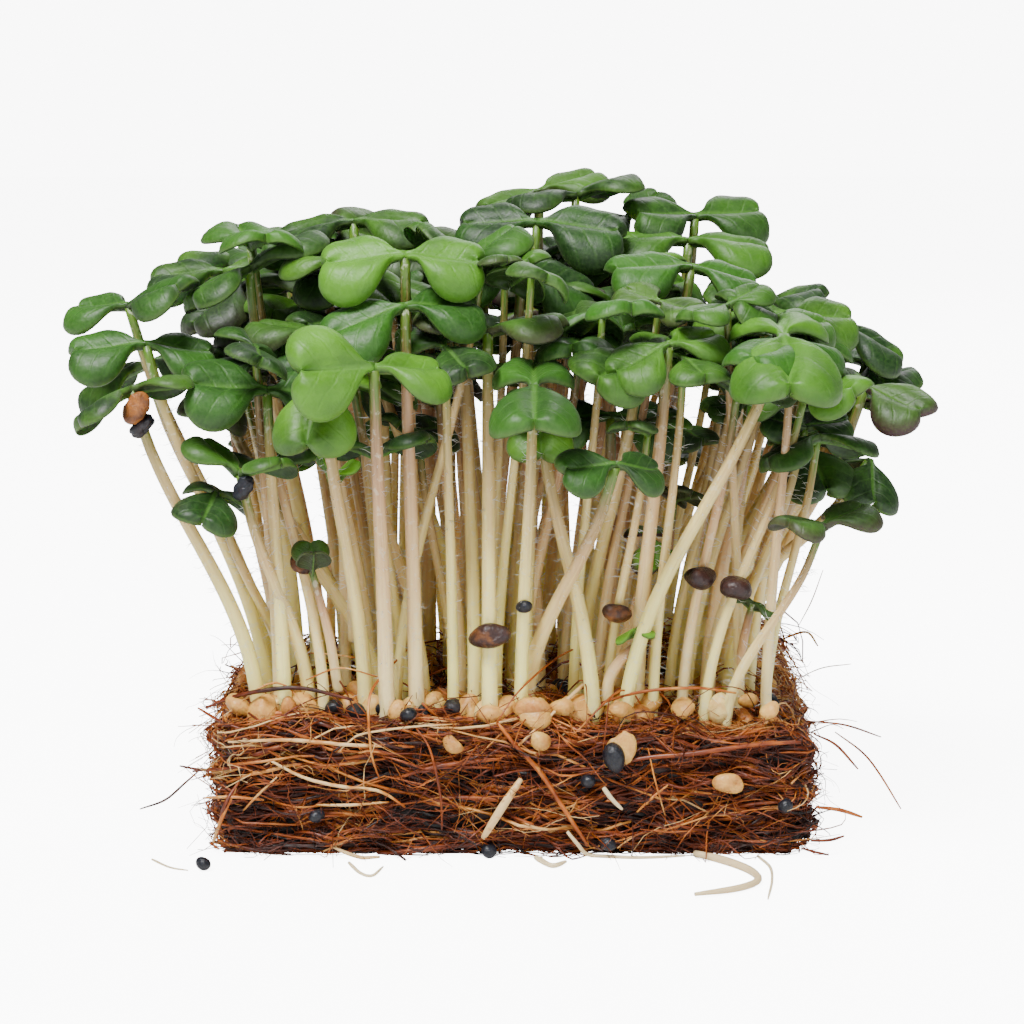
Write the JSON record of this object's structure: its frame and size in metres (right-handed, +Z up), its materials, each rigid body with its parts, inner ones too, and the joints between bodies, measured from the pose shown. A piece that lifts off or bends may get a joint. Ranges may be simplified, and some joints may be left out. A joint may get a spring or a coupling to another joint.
{
  "type": "microgreens on coir mat",
  "caption": "Dense clump of two-leaved radish and mustard microgreens growing in tufts out of a flat cut square of coir fibre mat.",
  "frame": {"origin": "middle of the mat's flat underside, on the surface it rests on", "axes": "+X to the right along the mat's long side, +Y away from the viewer, +Z up the stems"},
  "size_m": [0.0857, 0.068, 0.0639],
  "materials": {
    "coir": "matte",
    "stem": "satin",
    "leaf": "satin",
    "pale_seed": "satin",
    "seed_coat": "satin"
  },
  "bodies": {
    "root": {"coir_mat": "coir", "leaves_01": "leaf", "leaves_02": "leaf", "leaves_03": "leaf", "leaves_04": "leaf", "leaves_05": "leaf", "leaves_06": "leaf", "leaves_07": "leaf", "leaves_08": "leaf", "leaves_09": "leaf", "leaves_10": "leaf", "leaves_11": "leaf", "leaves_12": "leaf", "leaves_13": "leaf", "leaves_14": "leaf", "leaves_15": "leaf", "leaves_16": "leaf", "leaves_17": "leaf", "leaves_18": "leaf", "leaves_19": "leaf", "leaves_20": "leaf", "leaves_21": "leaf", "leaves_22": "leaf", "leaves_23": "leaf", "leaves_24": "leaf", "leaves_25": "leaf", "leaves_26": "leaf", "leaves_27": "leaf", "leaves_28": "leaf", "leaves_29": "leaf", "leaves_30": "leaf", "leaves_31": "leaf", "leaves_32": "leaf", "leaves_33": "leaf", "leaves_34": "leaf", "leaves_35": "leaf", "leaves_36": "leaf", "leaves_37": "leaf", "leaves_38": "leaf", "leaves_39": "leaf", "seed_coat_1": "seed_coat", "seed_pale_1": "pale_seed", "seed_pale_2": "pale_seed", "tuft_01_stems": "stem", "tuft_02_stems": "stem", "tuft_03_stems": "stem", "tuft_04_stems": "stem", "tuft_05_stems": "stem", "tuft_06_stems": "stem", "tuft_07_stems": "stem", "tuft_08_stems": "stem", "tuft_09_stems": "stem", "tuft_10_stems": "stem", "tuft_11_stems": "stem", "tuft_12_stems": "stem", "tuft_13_stems": "stem", "tuft_14_stems": "stem", "tuft_15_stems": "stem", "tuft_16_stems": "stem", "tuft_17_stems": "stem"}
  },
  "joints": []
}
